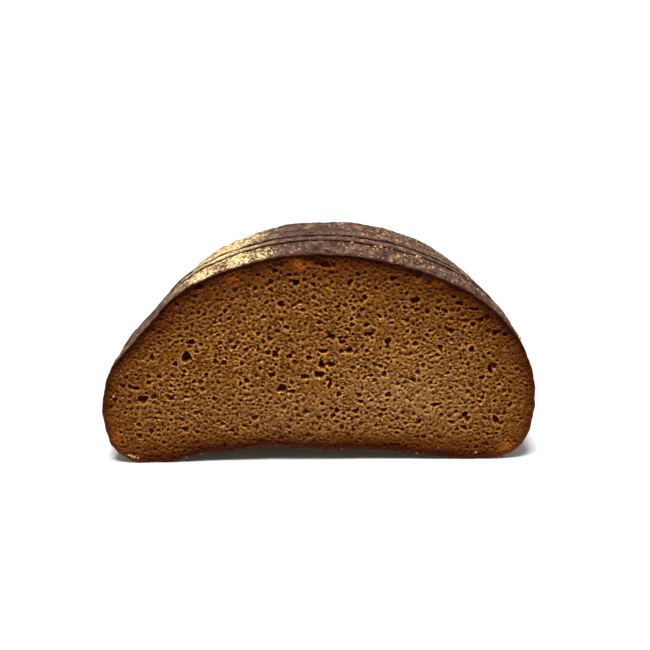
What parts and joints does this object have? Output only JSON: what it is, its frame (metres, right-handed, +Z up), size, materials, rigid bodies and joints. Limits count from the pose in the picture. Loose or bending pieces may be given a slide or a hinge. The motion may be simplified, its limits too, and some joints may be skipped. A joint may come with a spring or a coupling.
{
  "type": "rye loaf",
  "caption": "Hearth-baked dark rye loaf, cut into even slices that still stand together on an arched base, with a coarse open crumb and a floured crust.",
  "frame": {"origin": "the surface that the loaf stands on, under the middle of its box", "axes": "+X along the width of a slice, to the right as the front cut face is seen; +Y from the front cut face to the back one, across the slices; +Z up"},
  "size_m": [0.16, 0.0458, 0.0825],
  "materials": {
    "rye_bread": "matte"
  },
  "bodies": {
    "root": {"slice_1": "rye_bread", "slice_2": "rye_bread", "slice_3": "rye_bread", "slice_4": "rye_bread"}
  },
  "joints": []
}
